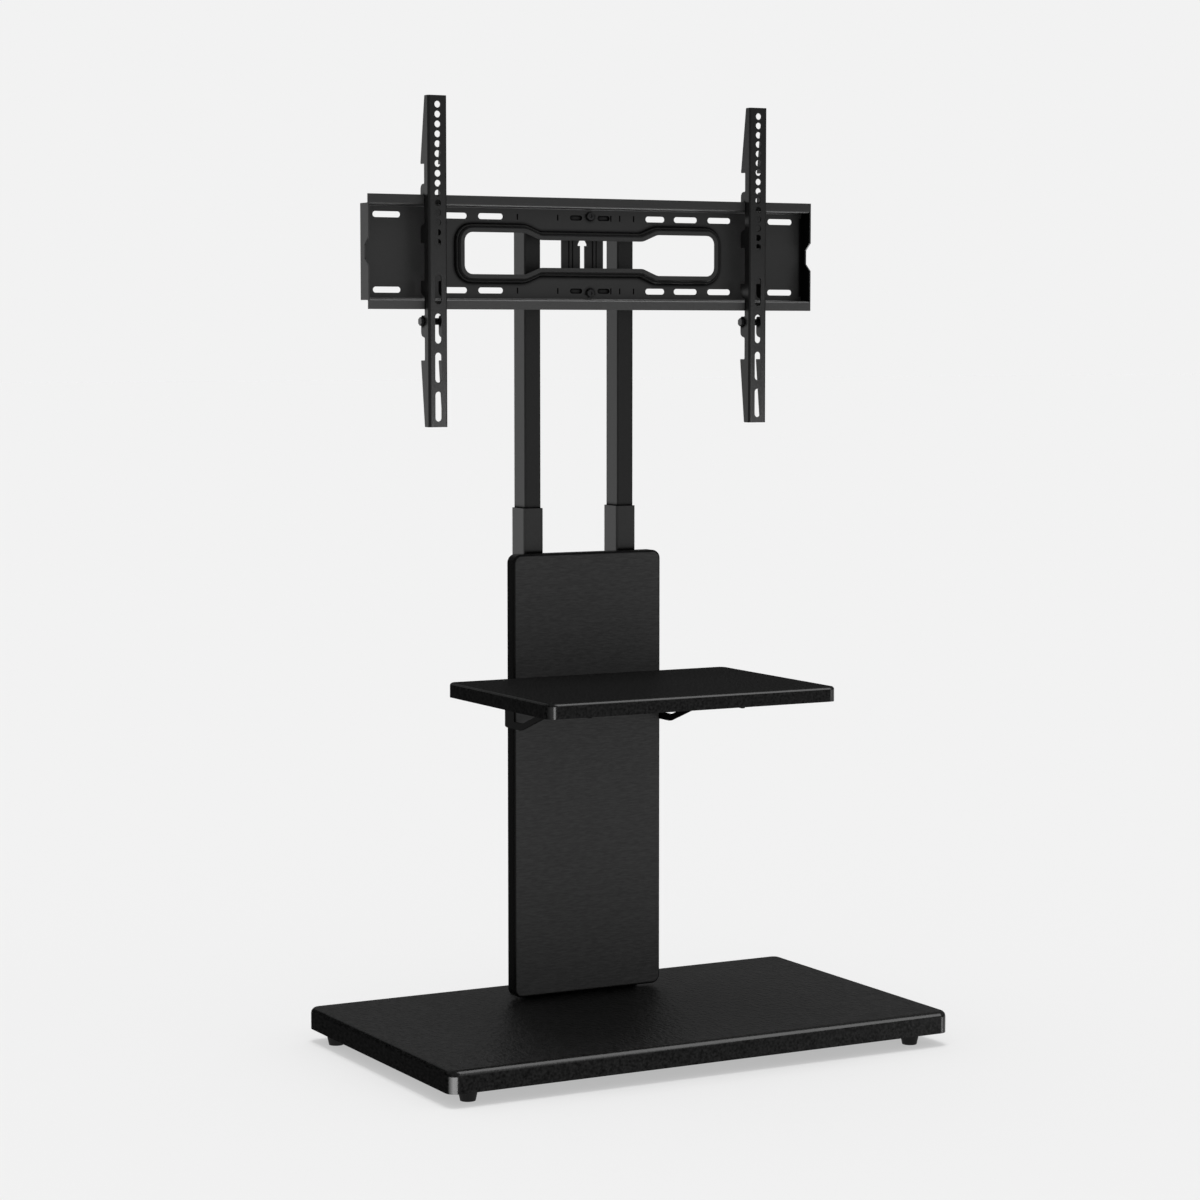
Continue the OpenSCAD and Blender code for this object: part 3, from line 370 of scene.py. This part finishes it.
def weld(name, body, paths):
    """One mesh of rippled, closed beads that rides on a body."""
    corners, faces = [], []
    for path in paths:
        first = len(corners)
        last = first + (len(path) - 1) * BEAD_SIDES
        for i, (place, u, v) in enumerate(path):
            ripple = abs(math.sin(i * math.pi / STEPS_A_RIPPLE))
            swell = BEAD_R * (1 - BEAD_RIPPLE + BEAD_RIPPLE * ripple)
            if i in (0, len(path) - 1):
                swell *= BEAD_END
            for k in range(BEAD_SIDES):
                angle = 2 * math.pi * k / BEAD_SIDES
                corners.append(place + (u * math.cos(angle) + v * math.sin(angle)) * swell)
        for row in range(first, last, BEAD_SIDES):
            for k in range(BEAD_SIDES):
                near, far = row + k, row + (k + 1) % BEAD_SIDES
                faces.append((near, far, far + BEAD_SIDES, near + BEAD_SIDES))
        faces.append(tuple(range(first + BEAD_SIDES - 1, first - 1, -1)))
        faces.append(tuple(range(last, last + BEAD_SIDES)))
    mesh = bpy.data.meshes.new(name)
    mesh.from_pydata([tuple(c) for c in corners], [], faces)
    mesh.shade_smooth()
    mesh.materials.append(weld_coat)
    piece = bpy.data.objects.new(name, mesh)
    scene.collection.objects.link(piece)
    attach(piece, body)


stand_welds, carriage_welds = [], []
for post, inward in (("outer_post_left", 1), ("outer_post_right", -1)):
    lo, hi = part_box(post)
    for x, out in ((lo.x, -1), (hi.x, 1)):
        foot_start, foot_end = (x, lo.y + BEAD_R, lo.z), (x, hi.y - BEAD_R, lo.z)
        stand_welds.append(straight(foot_start, foot_end, (out, 0, 1)))
    side = hi.x if inward > 0 else lo.x
    for brace in ("brace_lower", "brace_shelf", "brace_upper"):
        b_lo, b_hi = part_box(brace)
        bottom, top = (side, b_hi.y, b_lo.z), (side, b_hi.y, b_hi.z)
        stand_welds.append(straight(bottom, top, (inward, 1, 0)))
    nut_lo, nut_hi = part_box("height_lock_nuts")
    middle = ((lo.x + hi.x) / 2, hi.y, (nut_lo.z + nut_hi.z) / 2)
    stand_welds.append(ring(middle, (nut_hi.z - nut_lo.z) / 2))
for post, inward in (("inner_post_left", 1), ("inner_post_right", -1)):
    lo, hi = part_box(post)
    side = hi.x if inward > 0 else lo.x
    for bar in ("crossbar_lower", "crossbar_upper"):
        b_lo, b_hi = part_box(bar)
        for y, out in ((b_lo.y, -1), (b_hi.y, 1)):
            carriage_welds.append(straight((side, y, b_lo.z), (side, y, b_hi.z), (inward, out, 0)))
bracket_lo, bracket_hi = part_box("swivel_bracket")
for bar in ("crossbar_lower", "crossbar_upper"):
    b_lo, b_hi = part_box(bar)
    for x, out in ((bracket_lo.x, -1), (bracket_hi.x, 1)):
        carriage_welds.append(straight((x, b_lo.y, b_lo.z), (x, b_lo.y, b_hi.z), (out, -1, 0)))
weld("stand_weld_beads", "stand", stand_welds)
weld("carriage_weld_beads", "carriage", carriage_welds)


# Studio
SQUARE = [(-1, -1), (1, -1), (1, 1), (-1, 1)]


def flat_mesh(name, corners, material):
    mesh = bpy.data.meshes.new(name)
    mesh.from_pydata(corners, [], [tuple(range(len(corners)))])
    mesh.materials.append(material)
    thing = bpy.data.objects.new(name, mesh)
    scene.collection.objects.link(thing)
    return thing


# The floor's colour times the fill's and the overhead light's shares is the background
BACKGROUND = 0.888
FLOOR_GREY = 0.80
FILL_PART = 0.62
SUN_PART = BACKGROUND / FLOOR_GREY - FILL_PART
FLOOR_REACH = 60
FLOOR_GLOW_SHARE = 0.5

floor_material = new_material("studio_floor")
floor_shader = add(floor_material, "ShaderNodeBsdfDiffuse")
floor_shader.inputs["Color"].default_value = grey(FLOOR_GREY)
floor_glow = add(floor_material, "ShaderNodeEmission")
floor_glow.inputs["Color"].default_value = grey(BACKGROUND)
floor_mix = add(floor_material, "ShaderNodeMixShader")
floor_mix.inputs["Fac"].default_value = FLOOR_GLOW_SHARE
link(floor_material, floor_shader.outputs["BSDF"], floor_mix.inputs[1])
link(floor_material, floor_glow.outputs["Emission"], floor_mix.inputs[2])
show(floor_material, floor_mix.outputs["Shader"])
floor_corners = [(x * FLOOR_REACH, y * FLOOR_REACH, 0) for x, y in SQUARE]
floor = flat_mesh("studio_floor", floor_corners, floor_material)
floor.visible_glossy = False


def named_group(name, names):
    group = bpy.data.collections.new(name)
    for each in names:
        group.objects.link(nodes[each])
    return group


def card(name, direction, distance, aim_height, width, tall, strength, not_on=()):
    """A glowing card that only reflections see, but not those of some pieces."""
    material = new_material(name)
    glow = add(material, "ShaderNodeEmission")
    glow.inputs["Color"].default_value = grey(1)
    glow.inputs["Strength"].default_value = strength
    show(material, glow.outputs["Emission"])
    toward = Vector(direction).normalized()
    side = Vector((-toward.y, toward.x, 0)).normalized()
    up = toward.cross(side)
    middle = toward * distance + Vector((0, 0, aim_height))
    across, along = side * width / 2, up * tall / 2
    corners = [middle + across * a + along * b for a, b in SQUARE]
    thing = flat_mesh(name, [tuple(c) for c in corners], material)
    thing.visible_camera = False
    thing.visible_diffuse = False
    thing.visible_shadow = False
    if not_on:
        group = named_group(name + "_not_on", not_on)
        for entry in group.collection_objects:
            entry.light_linking.link_state = "EXCLUDE"
        thing.light_linking.receiver_collection = group


def gloss_light(name, lit, direction, distance, aim_height, width, tall, radiance):
    """A soft light that makes highlights on the lit pieces alone."""
    data = bpy.data.lights.new(name, "AREA")
    data.shape = "RECTANGLE"
    data.size = width
    data.size_y = tall
    data.energy = radiance * math.pi * width * tall
    lamp = bpy.data.objects.new(name, data)
    toward = Vector(direction).normalized()
    lamp.location = toward * distance + Vector((0, 0, aim_height))
    lamp.rotation_euler = toward.to_track_quat("Z", "Y").to_euler()
    lamp.visible_camera = False
    lamp.visible_diffuse = False
    scene.collection.objects.link(lamp)
    lamp.light_linking.receiver_collection = lit
    lamp.light_linking.blocker_collection = lit


BOARDS = named_group("lit_boards", ["base_board", "shelf_board"])
BASE = named_group("lit_base", ["base_board"])
SHELF = named_group("lit_shelf", ["shelf_board"])
PANEL = named_group("lit_panel", ["front_panel"])
HEAD = named_group("lit_head", ["mount_plate", "arm_left", "arm_right"])
PLATE = named_group("lit_plate", ["mount_plate"])
ARMS = named_group("lit_arms", ["arm_left", "arm_right"])

# The aim height is that of the point on the column's axis that a light faces
card(
    "card_left_back", (-0.478, 0.878, 0), distance=2.8, aim_height=0.85,
    width=1.5, tall=1.5, strength=0.95, not_on=["base_board"],
)
card(
    "card_right_front", (0.25, -0.968, 0), distance=2.8, aim_height=0.8,
    width=1.2, tall=1.6, strength=0.6,
)
gloss_light(
    "base_left", BASE, (-0.777, -0.629, 0), distance=2.0, aim_height=-0.4,
    width=3.6, tall=0.7, radiance=6.5,
)
gloss_light(
    "base_right", BASE, (0.76, -0.65, 0), distance=3.2, aim_height=-0.5,
    width=0.6, tall=0.8, radiance=12,
)
gloss_light(
    "shelf_left", SHELF, (-0.09, -0.996, 0), distance=3.2, aim_height=0.1,
    width=1.9, tall=0.6, radiance=5,
)
gloss_light(
    "shelf_right", SHELF, (0.76, -0.65, 0), distance=3.2, aim_height=0.1,
    width=0.5, tall=0.6, radiance=5,
)
gloss_light(
    "edge_above", BOARDS, (0.476, -0.55, 0.68), distance=3.0, aim_height=0.3,
    width=1.6, tall=3.8, radiance=2.8,
)
gloss_light(
    "panel_middle", PANEL, (0.478, -0.87, -0.14), distance=2.5, aim_height=0.35,
    width=1.0, tall=0.6, radiance=0.8,
)
gloss_light(
    "head_left", PLATE, (0.2, -0.98, 0), distance=2.8, aim_height=1.08,
    width=0.8, tall=0.8, radiance=0.6,
)
gloss_light(
    "head_above", PLATE, (0.476, -0.35, 0.8), distance=2.5, aim_height=1.08,
    width=1.6, tall=2.0, radiance=4.5,
)
gloss_light(
    "arms_below", ARMS, (0.45, -0.82, -0.37), distance=1.6, aim_height=0.95,
    width=0.9, tall=0.45, radiance=21,
)
gloss_light(
    "edge_below", HEAD, (0.476, 0.0, -0.86), distance=2.5, aim_height=1.08,
    width=2.0, tall=2.0, radiance=5,
)

SUN_WIDTH = 22
sun_data = bpy.data.lights.new("overhead", "SUN")
sun_data.energy = SUN_PART * math.pi
sun_data.angle = math.radians(SUN_WIDTH)
sun = bpy.data.objects.new("overhead", sun_data)
sun.visible_glossy = False
scene.collection.objects.link(sun)

world = bpy.data.worlds.new("studio")
world.use_nodes = True
world.node_tree.nodes.clear()
scene.world = world


def background(value):
    node = add(world, "ShaderNodeBackground")
    node.inputs["Color"].default_value = grey(value)
    return node


# What reflections see: the bright floor, a dark horizon and a lighter sky, as the
# brightness by the sine of the height above the horizon
SKY = [(-0.02, 0.62), (0.01, 0.04), (0.09, 0.03), (0.22, 0.153)]
where = add(world, "ShaderNodeTexCoord")
height = part_of(world, where.outputs["Generated"], "Z")
sky = add(world, "ShaderNodeValToRGB")
link(world, risen(world, height, -1, 1), sky.inputs["Fac"])
bands = sky.color_ramp.elements
while len(bands) < len(SKY):
    bands.new(1)
for band, (rise, value) in zip(bands, SKY):
    band.position = (1 + rise) / 2
    band.color = grey(value)
mirrored = add(world, "ShaderNodeBackground")
link(world, sky.outputs["Color"], mirrored.inputs["Color"])
path = add(world, "ShaderNodeLightPath")
light = mixed(
    world, path.outputs["Is Glossy Ray"],
    background(FILL_PART).outputs["Background"], mirrored.outputs["Background"],
)
light = mixed(
    world, path.outputs["Is Camera Ray"], light, background(BACKGROUND).outputs["Background"],
)
world_out = add(world, "ShaderNodeOutputWorld")
link(world, light, world_out.inputs["Surface"])

scene.view_settings.view_transform = "Standard"
